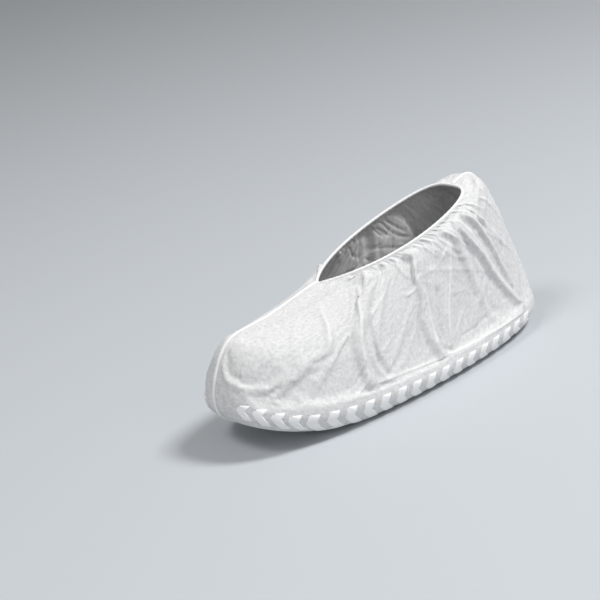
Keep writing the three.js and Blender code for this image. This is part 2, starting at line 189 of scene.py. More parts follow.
def inner_face(side, angle, level):
    """The smooth inner face: a centripetal Catmull-Rom curve through the rings at one angle, held above
    the flat sole with a small fillet."""
    angle, level = np.broadcast_arrays(np.asarray(angle, float), np.asarray(level, float))
    k = np.clip(np.floor(level).astype(int), 0, SOLE_MIDDLE - 1)
    at = (level - k)[..., None]
    p1, p2 = (ring_points(RINGS[k + i], side, angle) for i in (0, 1))
    first, last = (k == 0)[..., None], (k + 2 > SOLE_MIDDLE)[..., None]
    p0 = np.where(first, 2 * p1 - p2, ring_points(RINGS[np.maximum(k - 1, 0)], side, angle))
    p3 = np.where(last, 2 * p2 - p1, ring_points(RINGS[np.minimum(k + 2, SOLE_MIDDLE)], side, angle))

    def knot(a, b):
        """The square root of the distance between two points."""
        return np.sqrt(np.linalg.norm(a - b, axis=-1, keepdims=True)) + 1e-6

    t1 = knot(p0, p1)
    t2 = t1 + knot(p1, p2)
    t3 = t2 + knot(p2, p3)
    t = t1 + (t2 - t1) * at

    def mix(a, b, ta, tb):
        """A straight blend from a at ta to b at tb."""
        return a + (b - a) * (t - ta) / (tb - ta)

    a1, a2, a3 = mix(p0, p1, 0, t1), mix(p1, p2, t1, t2), mix(p2, p3, t2, t3)
    p = mix(mix(a1, a2, 0, t2), mix(a2, a3, t1, t3), t1, t2)
    sole = spring_at((1 - np.cos(angle)) / 2)
    above = p[..., 2] - sole
    rounded = sole + np.maximum(0, above + SOLE_FILLET) ** 2 / (4 * SOLE_FILLET)
    p[..., 2] = np.where(above < SOLE_FILLET, rounded, p[..., 2])
    p[..., 0] = np.maximum(p[..., 0], PANEL_EDGE) * side
    return p


def unit(v):
    """Each vector over its own length."""
    return v / np.maximum(np.linalg.norm(v, axis=-1, keepdims=True), 1e-9)


def outward(side, angle, level):
    """Outward normal of the inner face, from differences along both parameters. Along the seam it lies
    in the middle plane."""
    angle, level = np.broadcast_arrays(np.asarray(angle, float), np.asarray(level, float))
    d = 0.02
    a, l = np.clip(angle, d, math.pi - d), np.clip(level, d, SOLE_MIDDLE - d)
    n = -side * np.cross(inner_face(side, a + d, l) - inner_face(side, a - d, l),
                         inner_face(side, a, l + d) - inner_face(side, a, l - d))
    seam = (angle <= 0) | (angle >= math.pi) | (level >= SOLE_MIDDLE)
    n[..., 0] = np.where(seam, 0, n[..., 0])
    return unit(n)


def line_distance(points, line):
    """Distance from each point to a bent line: the least over its straight pieces."""
    a, b = line[:-1], line[1:]
    d = b - a
    t = np.clip(((points[..., None, :] - a) * d).sum(-1) / (d * d).sum(-1), 0, 1)
    return np.linalg.norm(points[..., None, :] - (a + t[..., None] * d), axis=-1).min(-1)


def fold_line(side, start, over, end, steps=15):
    """The quadratic through three places, each [degrees, level], laid on the inner face."""
    t = np.linspace(0, 1, steps)[:, None]
    places = (np.array(start) * (1 - t) * (1 - 2 * t) + 4 * np.array(over) * t * (1 - t)
              + np.array(end) * t * (2 * t - 1))
    return inner_face(side, np.radians(places[:, 0]), places[:, 1])


def fold_height(side, points, level):
    """Sum of the folds at each point: height times (1 - (distance / width) squared) squared, faded out
    above the print and beside the seam."""
    total = np.zeros(points.shape[:-1])
    for fold_side, start, over, end, width, height in FOLDS:
        if fold_side == side:
            away = np.minimum(line_distance(points, fold_line(side, start, over, end)) / width, 1)
            total += height * (1 - away ** 2) ** 2
    clear_of_sole = 1 - smooth(level, *FOLD_SOLE_FADE)
    return total * clear_of_sole * smooth(np.abs(points[..., 0]), PANEL_EDGE, FOLD_SEAM_FADE)


def crease_height(side, points):
    """Sum of the creases at each point: height times (1 - distance / width) squared, which is sharp along
    its line, and thinner towards the line's ends."""
    total = np.zeros(points.shape[:-1])
    turn = np.array([CREASE_TURN[side], 0])
    for start, over, end, width, height in CREASES:
        line = fold_line(side, start + turn, over + turn, end + turn)
        away = line_distance(points, line)
        ends = np.minimum(np.linalg.norm(points - line[0], axis=-1), np.linalg.norm(points - line[-1], axis=-1))
        total += height * (1 - np.minimum(away / width, 1)) ** 2 * smooth(ends, -2, 9)
    return total * smooth(np.abs(points[..., 0]), PANEL_EDGE, 6)


# Distance round the bulge ring from its toe, as a table of angle for each side.
FINE_ANGLES = np.linspace(0, math.pi, 1441)
BULGE_LENGTH = {}
for _side in (1, -1):
    _p = ring_points(np.broadcast_to(RINGS[BULGE], (FINE_ANGLES.size, RINGS.shape[1])), _side, FINE_ANGLES)
    BULGE_LENGTH[_side] = np.concatenate([[0], np.cumsum(np.linalg.norm(np.diff(_p, axis=0), axis=-1))])


def angle_round(side, distance):
    """The angle at a distance round the bulge ring from its toe."""
    return np.interp(distance, BULGE_LENGTH[side], FINE_ANGLES)


# ---------------------------------------------------------------- meshes

def make_object(name, verts, faces, uv=None, smooth_shade=True):
    """A mesh object from arrays: verts in millimetres, faces as an n by 3 or n by 4 array or a list of
    such arrays, uv one pair per vertex in metres."""
    groups = faces if isinstance(faces, list) else [faces]
    me = bpy.data.meshes.new(name)
    me.vertices.add(len(verts))
    me.vertices.foreach_set("co", (np.asarray(verts, float) * MM).ravel())
    loops = np.concatenate([np.asarray(g).ravel() for g in groups]).astype(np.int32)
    sizes = np.concatenate([np.full(len(g), np.asarray(g).shape[1]) for g in groups])
    me.loops.add(len(loops))
    me.loops.foreach_set("vertex_index", loops)
    me.polygons.add(len(sizes))
    me.polygons.foreach_set("loop_start", np.concatenate([[0], np.cumsum(sizes)[:-1]]).astype(np.int32))
    me.update(calc_edges=True)
    me.validate()
    me.polygons.foreach_set("use_smooth", np.full(len(me.polygons), smooth_shade))
    if uv is not None:
        layer = me.uv_layers.new(name="cloth")
        layer.data.foreach_set("uv", np.asarray(uv, float)[loops].ravel())
    obj = bpy.data.objects.new(name, me)
    bpy.context.scene.collection.objects.link(obj)
    return obj


def grid_faces(rows, cols, wrap_rows=False, wrap_cols=False, flip=False):
    """Quads between neighbours of a rows by cols grid of vertices."""
    r = np.arange(rows if wrap_rows else rows - 1)
    c = np.arange(cols if wrap_cols else cols - 1)
    i, j = np.meshgrid(r, c, indexing="ij")
    i2, j2 = (i + 1) % rows, (j + 1) % cols
    quads = np.stack([i * cols + j, i2 * cols + j, i2 * cols + j2, i * cols + j2], -1).reshape(-1, 4)
    return quads[:, ::-1] if flip else quads


def carry(path, ups, profile, closed):
    """A profile of (across, up) pairs carried along a path, square to it: each section is spanned by the
    section's up direction and the cross product of the path's direction with it."""
    if closed:
        along = unit(np.roll(path, -1, 0) - np.roll(path, 1, 0))
    else:
        along = unit(np.gradient(path, axis=0))
    up = unit(ups - along * (ups * along).sum(-1, keepdims=True))
    across = np.cross(along, up)
    return path[:, None] + across[:, None] * profile[..., 0:1] + up[:, None] * profile[..., 1:2]


# ---------------------------------------------------------------- fabric panels

COLUMNS, ROWS, FINER = 182, 60, 2  # steps toe to heel, and opening to sole middle; finer once settled
LEVEL_STEPS = np.array([  # (share of the rows, level): more rows where the side turns under
    (0.0, 0.0), (0.08, 0.45), (0.70, 3.9), (0.84, 4.75), (0.93, 5.9), (1.0, 7.0)])
SIM_SCALE = 10 * MM  # the cloth is settled at ten times its size, where collision is finer
SIM_FRAMES = 30
FORM_INSET = 3.4  # the shoe's form inside, from the inner face
MOST_MOVE = 6.0  # the cloth settles at most this far
SLACK = 0.012  # spare length in the fabric under the opening
SHAKE = 0.14  # height of the swell the fabric starts to settle from
PLEAT = 0.9  # height of the gathers under the elastic


def panel_grid(side):
    """Angles by even distance round the bulge ring, and levels by the table above."""
    angle = angle_round(side, np.linspace(0, BULGE_LENGTH[side][-1], COLUMNS + 1))
    angle[0], angle[-1] = 0, math.pi
    level = np.interp(np.linspace(0, 1, ROWS + 1), LEVEL_STEPS[:, 0], LEVEL_STEPS[:, 1])
    return np.meshgrid(angle, level, indexing="ij")


def rim_pleats(side, points):
    """Fine gathers that run down from the elastic: two rows of ridges of uneven pitch along the opening,
    each (1 - |sin|) to a power, which die away down the side over a length that wanders."""
    edge = points[:, :1]
    run = np.concatenate([[[0]], np.cumsum(np.linalg.norm(np.diff(edge, axis=0), axis=-1), axis=0)])
    down = np.linalg.norm(points - edge, axis=-1)
    wander = np.sin(run / 9.3 + side) * 1.1 + np.sin(run / 23 + 1.3) * 1.6
    reach = 13 + 5 * np.sin(run / 7.7 + 2 * side) + 4 * np.sin(run / 4.1)
    wave = (1.5 * (1 - np.abs(np.sin(run * math.pi / 8.3 + wander))) ** 1.6
            + 0.8 * (1 - np.abs(np.sin(run * math.pi / 4.7 - wander + side))) ** 2 - 0.45)
    fade = smooth(down, 0, 4) * smooth(np.abs(points[..., 0]), PANEL_EDGE, 8)
    return PLEAT * wave * np.exp(-(down / reach) ** 1.4) * fade


def start_points(side):
    """Where a panel's outer face starts: the inner face lifted by the wall and the folds."""
    angle, level = panel_grid(side)
    base = inner_face(side, angle, level)
    calm = 1 - 0.65 * smooth(np.degrees(angle), 46, 34)  # the toe is drawn smooth
    lift = WALL + fold_height(side, base, level) * calm * smooth(level, 0, 0.7)
    return base + outward(side, angle, level) * lift[..., None]


def make_form():
    """The shoe's form that the fabric lies over while it settles: the inner face moved inwards."""
    parts = []
    for side in (1, -1):
        angle = angle_round(side, np.linspace(0, BULGE_LENGTH[side][-1], 90))
        angle[0], angle[-1] = 0.001, math.pi - 0.001
        a, l = np.meshgrid(angle, np.linspace(0, SOLE_MIDDLE - 0.001, 50), indexing="ij")
        parts.append((inner_face(side, a, l) - outward(side, a, l) * FORM_INSET, side))
    verts = np.concatenate([p.reshape(-1, 3) for p, _ in parts]) * SIM_SCALE / MM
    faces = [grid_faces(90, 50, flip=side > 0) + i * 4500 for i, (_, side) in enumerate(parts)]
    return make_object("shoe_form", verts, faces)


def fill_group(group, weights):
    """Puts every vertex in a group with its weight, in steps of a twentieth."""
    steps = np.round(weights * 20).astype(int)
    for step in np.unique(steps[steps > 0]):
        group.add(np.flatnonzero(steps == step).tolist(), step / 20, "REPLACE")


def settle(starts):
    """Lets both panels settle as cloth over the form, held at the opening, the seam and under the sole,
    and gives back where their points end."""
    form = make_form()
    form.modifiers.new("hit", "COLLISION")
    form.collision.thickness_outer = 0.004
    form.collision.cloth_friction = 8
    sheets = {}
    for side, start in starts.items():
        n, m = start.shape[:2]
        angle, level = panel_grid(side)
        calm = 1 - 0.85 * smooth(np.degrees(angle), 62, 36) * smooth(level, 1, 2)  # the toe is drawn smooth
        shake = ripple(*run_and_drop(start), (9, 26), 24, 5 + side) * SHAKE
        fade = smooth(np.abs(start[..., 0]), 2, 12) * (1 - smooth(level, 3.6, 4.3)) * smooth(level, 0, 0.5) * calm
        jolt = start + outward(side, angle, level) * (shake * fade)[..., None]
        faces = grid_faces(n, m, flip=side > 0)
        obj = make_object(f"settling_{side}", jolt.reshape(-1, 3) * SIM_SCALE / MM, faces)
        pin = obj.vertex_groups.new(name="held")
        hold = np.maximum(1 - smooth(level, 0, 0.25), smooth(level, 4.3, 4.7))
        hold = np.maximum(hold, 1 - smooth(np.abs(start[..., 0]), 2, 7)).ravel()
        slack = obj.vertex_groups.new(name="slack")
        spare = ((1 - smooth(level, 3.2, 4.6)) * (0.3 + 0.7 * (1 - smooth(level, 0.3, 2))) * calm).ravel()
        fill_group(pin, hold)
        fill_group(slack, spare)
        cloth = obj.modifiers.new("cloth", "CLOTH")
        s = cloth.settings
        s.quality = 6
        s.mass = 0.12
        s.tension_stiffness = s.compression_stiffness = 25
        s.shear_stiffness = 12
        s.bending_stiffness = 0.4
        s.tension_damping = s.compression_damping = 10
        s.vertex_group_mass = "held"
        s.pin_stiffness = 1
        s.vertex_group_shrink = "slack"
        s.shrink_min, s.shrink_max = 0.0, -SLACK
        s.effector_weights.gravity = 0.25
        cloth.collision_settings.distance_min = 0.004
        cloth.collision_settings.collision_quality = 2
        cloth.point_cache.frame_start, cloth.point_cache.frame_end = 1, SIM_FRAMES
        sheets[side] = obj
    scene = bpy.context.scene
    for f in range(1, SIM_FRAMES + 1):
        scene.frame_set(f)
    graph = bpy.context.evaluated_depsgraph_get()
    ends = {}
    for side, obj in sheets.items():
        me = obj.evaluated_get(graph).data
        co = np.zeros(len(me.vertices) * 3)
        me.vertices.foreach_get("co", co)
        move = co.reshape(starts[side].shape) / SIM_SCALE - starts[side]
        size = np.linalg.norm(move, axis=-1, keepdims=True)
        move *= MOST_MOVE * np.tanh(size / MOST_MOVE) / np.maximum(size, 1e-9)
        ends[side] = starts[side] + move
    for obj in (*sheets.values(), form):
        bpy.data.objects.remove(obj)
    scene.frame_set(1)
    return ends


def weave_matrix(n, finer):
    """Weights that take n even points to finer times as many steps along a smooth Catmull-Rom curve."""
    at = np.linspace(0, n - 1, (n - 1) * finer + 1)
    k = np.minimum(at.astype(int), n - 2)
    f = at - k
    w = np.zeros((len(at), n))
    row = np.arange(len(at))
    parts = (-f / 2 + f ** 2 - f ** 3 / 2, 1 - 2.5 * f ** 2 + 1.5 * f ** 3,
             f / 2 + 2 * f ** 2 - 1.5 * f ** 3, -f ** 2 / 2 + f ** 3 / 2)
    for i, part in enumerate(parts):
        np.add.at(w, (row, np.clip(k + i - 1, 0, n - 1)), part)
    return w


def ripple(u, v, lengths, count, seed):
    """A smooth random swell of about unit height: waves of seeded directions, lengths and phases."""
    r = np.random.default_rng(seed)
    total = 0 * u
    for turn, length, phase in zip(r.uniform(0, math.pi, count), r.uniform(*lengths, count),
                                   r.uniform(0, 2 * math.pi, count)):
        total += np.sin((u * math.cos(turn) + v * math.sin(turn)) * 2 * math.pi / length + phase)
    return total / math.sqrt(count / 2)


def run_and_drop(points):
    """Distance along each row and down each column of a grid of points."""
    run = np.cumsum(np.linalg.norm(np.diff(points, axis=0, prepend=points[:1]), axis=-1), axis=0)
    drop = np.cumsum(np.linalg.norm(np.diff(points, axis=1, prepend=points[:, :1]), axis=-1), axis=1)
    return run, drop


def refine(side, points):
    """The settled points on a grid twice as fine, with the sharp creases and the gathers added along the
    normals. Gives the points and how far each stands on a crease."""
    wide, tall = weave_matrix(points.shape[0], FINER), weave_matrix(points.shape[1], FINER)
    fine = np.einsum("ai,bj,ijk->abk", wide, tall, points, optimize=True)
    angle, level = panel_grid(side)
    angle, level = wide @ angle @ tall.T, wide @ level @ tall.T
    base = inner_face(side, np.clip(angle, 0, math.pi), np.clip(level, 0, SOLE_MIDDLE))
    crease = crease_height(side, base) + rim_pleats(side, base)
    normal = np.cross(np.gradient(fine, axis=0), np.gradient(fine, axis=1))
    normal = unit(normal) * -side
    return fine + normal * crease[..., None], crease


def make_panel(side, name, points, crease):
    """One side panel from its outer points, with a thin wall under it. Its UV map runs along and down
    the fabric in metres."""
    run, drop = run_and_drop(points)
    mid = run[:, run.shape[1] // 2][:, None] + 0 * run
    uv = np.stack([mid * MM, drop * MM], -1).reshape(-1, 2)
    obj = make_object(name, points.reshape(-1, 3), grid_faces(*points.shape[:2], flip=side > 0), uv)
    # The crease heights are kept as an attribute for the cloth finish, which paints a highlight on their crests
    crest_highlight = obj.data.attributes.new("crease", "FLOAT", "POINT")
    crest_highlight.data.foreach_set("value", crease.ravel().astype(np.float32))
    wall = obj.modifiers.new("wall", "SOLIDIFY")
    wall.thickness, wall.offset, wall.use_even_offset = CLOTH * MM, -1, False
    return obj


# ---------------------------------------------------------------- seam, elastic and print

def make_seam():
    """The bound seam: a rounded ridge carried over the instep, round the toe, along the sole and up the
    heel, with a slow uneven swell."""
    levels = np.linspace(0, SOLE_MIDDLE, 110)
    sole = angle_round(1, np.linspace(0, BULGE_LENGTH[1][-1], 122)[1:-1])
    angle = np.concatenate([0 * levels, sole, 0 * levels + math.pi])
    level = np.concatenate([levels, 0 * sole + SOLE_MIDDLE, levels[::-1]])
    base, up = inner_face(1, angle, level), outward(1, angle, level)
    base[:, 0] = up[:, 0] = 0
    up = unit(up)
    t = np.linspace(0, 2 * math.pi, 15)[:-1]
    profile = np.stack([1.45 * np.sign(np.cos(t)) * np.abs(np.cos(t)) ** 0.7,
                        1.3 + 1.3 * np.sign(np.sin(t)) * np.abs(np.sin(t)) ** 0.8], -1)
    run = np.cumsum(np.linalg.norm(np.diff(base, axis=0, prepend=base[:1]), axis=-1))
    swell = 1 + 0.05 * np.sin(run / 6.1) + 0.04 * np.sin(run / 2.3 + 1)
    low = 1 - 0.26 * smooth(level, 4.6, 5.6)  # pressed flatter under the sole
    grid = carry(base, up, profile[None] * swell[:, None, None] * np.stack([1 + 0 * low, low], -1)[:, None], False)
    n, m = grid.shape[:2]
    caps = [np.arange(m)[None, ::-1], ((n - 1) * m + np.arange(m))[None]]
    return make_object("seam_ridge", grid.reshape(-1, 3), [grid_faces(n, m, wrap_cols=True), *caps])


def make_elastic():
    """The rolled edge: a round cord along the opening, puckered by the gathers."""
    one = np.linspace(0, BULGE_LENGTH[1][-1], 261)
    parts, away = [], []
    for side in (1, -1):
        angle = angle_round(side, one * BULGE_LENGTH[side][-1] / one[-1])[:: side]
        keep = slice(None) if side > 0 else slice(1, -1)
        edge = inner_face(side, angle, 0) + outward(side, angle, 0) * (WALL - CLOTH / 2)
        below = inner_face(side, angle, 0.3)
        parts.append(edge[keep])
        away.append((inner_face(side, angle, 0) - below)[keep])
    path, ups = np.concatenate(parts), np.concatenate(away)
    end = np.abs(path[:, 0]) <= PANEL_EDGE + 0.01
    path[end, 0] = 0
    ups[end, 0] = 0
    ups = unit(ups)
    path = path + ups * 1.2
    run = np.cumsum(np.linalg.norm(np.diff(path, axis=0, prepend=path[:1]), axis=-1))
    t = np.linspace(0, 2 * math.pi, 13)[:-1]
    pucker = (1 + 0.10 * np.sin(run * 2 * math.pi / 3.3)[:, None] * np.cos(t)
              + 0.06 * np.sin(run * 2 * math.pi / 5.1 + 1)[:, None])
    profile = np.stack([np.cos(t) * 1.3 * pucker, np.sin(t) * 1.3 * pucker], -1)
    grid = carry(path, ups, profile, True)
    n, m = grid.shape[:2]
    return make_object("elastic_roll", grid.reshape(-1, 3), grid_faces(n, m, wrap_rows=True, wrap_cols=True))


HOOK = np.array([[8.4, 0], [12.9, 7.3], [4.2, 17.8], [13.9, 25.1], [28.7, 7.1], [24.2, 0]])
HOOK_PITCH, ROW_START, ROW_BASE, HOOKS_IN_ROW = 31.0, -124.8, 20.0, 8
OUTER_TURN = np.array([40.9, 55.2])
RIGHT_TURN = 11.0
# Single strokes round the toe: where each stands along the edge from the toe tip, and how far further
# out than their middle line.
TOE_HOOK = np.array([[3, 58.4], [0, 70], [4.5, 75.2]])
TOE_HOOKS = {1: [(27, 12), (39, 8.5), (51.5, 4.5), (63, 1.5)], -1: [(21, 11), (33, 8.5), (45, 6), (56.7, 4)]}
PRINT_TOP = (75.2, 4.75)
PRINT_WIDTH, PRINT_RISE = 7.0, 0.75


def on_sole(side, angle_at, out, lift):
    """Points a distance out from the seam along sections whose angle at each level is given, stretched
    to reach the print's top level, and lifted off the inner face."""
    levels = np.arange(SOLE_MIDDLE, PRINT_TOP[1] - 1.001, -1 / 16)
    sections = inner_face(side, angle_at(levels[:, None]), levels[:, None])  # levels by points
    spans = np.linalg.norm(np.diff(sections, axis=0), axis=-1)
    gone = np.concatenate([0 * sections[:1, :, 0], np.cumsum(spans, 0)])
    full = gone[int(round((SOLE_MIDDLE - PRINT_TOP[1]) * 16))]
    want = np.clip((out - PANEL_EDGE) * full / (PRINT_TOP[0] - PANEL_EDGE), 0, None)
    k = np.clip((gone < want).sum(0), 1, len(levels) - 1)
    pick = np.arange(len(want))
    level = levels[k - 1] - (want - gone[k - 1, pick]) / (gone[k, pick] - gone[k - 1, pick]) / 16
    angle = np.clip(angle_at(level[None])[0], 1e-4, math.pi - 1e-4)
    return cloth_at(side, angle, level) + outward(side, angle, np.minimum(level, 6.9)) * lift[:, None]


def cloth_at(side, angle, level):
    """The finished outer face at any place: a blend of the four grid points round it."""
    points = fine[side][0]
    n, m = points.shape[:2]
    angles, levels = panel_grid(side)
    i = np.interp(angle, angles[:, 0], np.arange(0, n, FINER))
    j = np.interp(level, levels[0], np.arange(0, m, FINER))
    i0, j0 = np.minimum(i.astype(int), n - 2), np.minimum(j.astype(int), m - 2)
    fi, fj = (i - i0)[:, None], (j - j0)[:, None]
    return ((points[i0, j0] * (1 - fi) + points[i0 + 1, j0] * fi) * (1 - fj)
            + (points[i0, j0 + 1] * (1 - fi) + points[i0 + 1, j0 + 1] * fi) * fj)


def across_at(y):
    """The angle at which each level's ring passes a place along the sole."""
    def angle(level):
        """The arc cosine of 1 less twice how far y lies from the level's toe end to its heel end, the ends
        blended in a straight line between rings."""
        k = np.clip(np.floor(level).astype(int), 0, SOLE_MIDDLE - 1)
        f = level - k
        toe = RINGS[k, 0] * (1 - f) + RINGS[k + 1, 0] * f
        heel = RINGS[k, 1] * (1 - f) + RINGS[k + 1, 1] * f
        return np.arccos(1 - 2 * np.clip((y - toe) / (heel - toe), 0, 1))
    return angle


def stroke_sections(line, step):
    """Points along a bent line with the direction across it: mitred at the bends, and cut level with the
    row's base at the free ends."""
    pts = [line[:1]]
    for a, b in zip(line[:-1], line[1:]):
        n = max(1, math.ceil(np.linalg.norm(b - a) / step))
        pts.append(a + (b - a) * (np.arange(1, n + 1) / n)[:, None])
    pts = np.concatenate(pts)
    d = unit(np.diff(pts, axis=0))
    one, two = np.concatenate([d[:1], d]), np.concatenate([d, d[-1:]])
    across = np.stack([-(one + two)[:, 1], (one + two)[:, 0]], -1)
    size = np.linalg.norm(across, axis=-1, keepdims=True)
    across = across / size * 2 / size
    for end, at in ((0, d[0]), (-1, d[-1])):
        across[end] = [-1 / at[1], 0]
    return pts, across


def print_profile():
    """Round-shouldered strip: (across from -1 to 1, height from 0 to 1), closed underneath."""
    s = np.array([-1, -0.97, -0.88, -0.7, -0.35, 0, 0.35, 0.7, 0.88, 0.97, 1])
    top = (1 - np.abs(s) ** 9) ** 0.5
    under = np.array([0.5, 0, -0.5])
    return np.concatenate([s, under]), np.concatenate([top, 0 * under])


def make_print(side, name):
    """Every printed stroke of one half of the sole, as raised strips laid over the fabric."""
    across_share, height = print_profile()
    verts, faces, count = [], [], 0
    jobs = []
    for i in range(HOOKS_IN_ROW):
        at = ROW_START + HOOK_PITCH * i
        jobs.append((HOOK + [at, ROW_BASE], None))
        jobs.append((np.array([at, ROW_BASE]) + OUTER_TURN - HOOK, None))
    jobs += [(TOE_HOOK + [0, climb], at) for at, climb in TOE_HOOKS[side]]
    for line, toe_at in jobs:
        pts, across = stroke_sections(line, 2.4)
        flat = pts[:, None] + across[:, None] * across_share[:, None] * PRINT_WIDTH / 2
        lift = np.broadcast_to(PRINT_RISE * height - 0.2, flat.shape[:2]).ravel()
        u, out = flat[..., 0].ravel(), flat[..., 1].ravel()
        if toe_at is None:
            place = across_at(u if side > 0 else RIGHT_TURN - u)
        else:
            turn = angle_round(side, toe_at + side * u)
            place = lambda level, turn=turn: turn + 0 * level
        p = on_sole(side, place, out, lift)
        n, m = flat.shape[:2]
        quads = grid_faces(n, m, wrap_cols=True) + count
        ends = [np.arange(m) + count, (n - 1) * m + np.arange(m)[::-1] + count]
        verts.append(p)
        faces += [quads, *(e[None] for e in ends)]
        count += n * m
    obj = make_object(name, np.concatenate(verts), faces)
    return face_out(obj)


def face_out(obj):
    """Turns every face of a closed mesh outward."""
    import bmesh
    bm = bmesh.new()
    bm.from_mesh(obj.data)
    bmesh.ops.recalc_face_normals(bm, faces=bm.faces)
    bm.to_mesh(obj.data)
    bm.free()
    return obj


settled = {side: start_points(side) for side in (1, -1)}
settled = settle(settled)
fine = {side: refine(side, points) for side, points in settled.items()}
panels = {side: make_panel(side, name, *fine[side])
          for side, name in ((1, "panel_cloth_left"), (-1, "panel_cloth_right"))}
seam = face_out(make_seam())
elastic = face_out(make_elastic())
prints = {side: make_print(side, name) for side, name in ((1, "tread_print_left"), (-1, "tread_print_right"))}

# ---------------------------------------------------------------- finishes

def new_group(name, inputs, outputs):
    """An empty shader group: inputs and outputs are (name, kind, start value)."""
    group = bpy.data.node_groups.new(name, "ShaderNodeTree")
    for label, kind, value in inputs:
        s = group.interface.new_socket(name=label, in_out="INPUT", socket_type=kind)
        if value is not None:
            s.default_value = value
    for label, kind in outputs:
        group.interface.new_socket(name=label, in_out="OUTPUT", socket_type=kind)
    return group, group.nodes.new("NodeGroupInput"), group.nodes.new("NodeGroupOutput")


def node(tree, kind, links=(), **settings):
    """A node with its settings, and links given as {input: socket or value}."""
    n = tree.nodes.new(kind)
    for key, value in settings.items():
        setattr(n, key, value)
    for key, value in dict(links).items():
        if isinstance(value, bpy.types.NodeSocket):
            tree.links.new(value, n.inputs[key])
        else:
            n.inputs[key].default_value = value
    return n


def fibre_web_group():
    """Spunbond web: long thin fibres from two stretched noises turned across each other, cloudy density
    from a slow noise, and the small pressed dots that bond it."""
    g, gin, gout = new_group("fibre_web", [("Vector", "NodeSocketVector", None),
                                          ("Cloud scale", "NodeSocketFloat", 320.0),
                                          ("Fibre scale", "NodeSocketFloat", 900.0),
                                          ("Dot pitch", "NodeSocketFloat", 700.0)],
                             [("Density", "NodeSocketFloat"), ("Height", "NodeSocketFloat")])
    vector = gin.outputs["Vector"]
    cloud = node(g, "ShaderNodeTexNoise", {"Vector": vector, "Scale": gin.outputs["Cloud scale"], "Detail": 6.0,
                                           "Roughness": 0.7})
    fibres = []
    for turn, stretch in ((0.5, 0.16), (-0.9, 0.2), (1.6, 0.22)):
        m = node(g, "ShaderNodeMapping", {"Vector": vector, "Rotation": (0.0, 0.0, turn),
                                          "Scale": (1.0, stretch, 1.0)})
        fibres.append(node(g, "ShaderNodeTexNoise", {"Vector": m.outputs[0], "Scale": gin.outputs["Fibre scale"],
                                                     "Detail": 3.0, "Roughness": 0.6}))
    two = node(g, "ShaderNodeMath", {0: fibres[0].outputs[0], 1: fibres[1].outputs[0]}, operation="MAXIMUM")
    web = node(g, "ShaderNodeMath", {0: two.outputs[0], 1: fibres[2].outputs[0]}, operation="MAXIMUM")
    dots = node(g, "ShaderNodeTexVoronoi", {"Vector": vector, "Scale": gin.outputs["Dot pitch"],
                                            "Randomness": 0.15})
    pressed = node(g, "ShaderNodeMapRange", {"Value": dots.outputs["Distance"],
                                             "From Min": 0.18, "From Max": 0.34})
    density = node(g, "ShaderNodeMath", {0: cloud.outputs[0], 1: 0.7}, operation="MULTIPLY")
    density2 = node(g, "ShaderNodeMath", {0: web.outputs[0], 1: 0.3, 2: density.outputs[0]},
                    operation="MULTIPLY_ADD")
    bond = node(g, "ShaderNodeMath", {0: pressed.outputs[0], 1: 0.35, 2: web.outputs[0]}, operation="MULTIPLY_ADD")
    g.links.new(density2.outputs[0], gout.inputs["Density"])
    g.links.new(bond.outputs[0], gout.inputs["Height"])
    return g


def crumple_group():
    """Sharp little creases: distances to the edges of cells, whose places are bent by a slow noise, at
    four sizes."""
    g, gin, gout = new_group("crumple", [("Vector", "NodeSocketVector", None), ("Scale", "NodeSocketFloat", 45.0)],
                             [("Height", "NodeSocketFloat")])
    vector = gin.outputs["Vector"]
    bend = node(g, "ShaderNodeTexNoise", {"Vector": vector, "Scale": 30.0, "Detail": 2.0})
    bent = node(g, "ShaderNodeVectorMath", {0: bend.outputs["Color"], 1: (0.02, 0.02, 0.02)}, operation="MULTIPLY")
    place = node(g, "ShaderNodeVectorMath", {0: vector, 1: bent.outputs[0]}, operation="ADD")
    total = None
    for times, weight in ((1.0, 0.5), (2.3, 0.3), (5.5, 0.2), (12.0, 0.12)):
        scale = node(g, "ShaderNodeMath", {0: gin.outputs["Scale"], 1: times}, operation="MULTIPLY")
        cells = node(g, "ShaderNodeTexVoronoi", {"Vector": place.outputs[0], "Scale": scale.outputs[0]}, feature="F1")
        part = node(g, "ShaderNodeMath", {0: cells.outputs["Distance"], 1: weight}, operation="MULTIPLY")
        total = part if total is None else node(g, "ShaderNodeMath", {0: total.outputs[0], 1: part.outputs[0]},
                                                operation="ADD")
    g.links.new(total.outputs[0], gout.inputs["Height"])
    return g


FIBRE, CRUMPLE = fibre_web_group(), crumple_group()


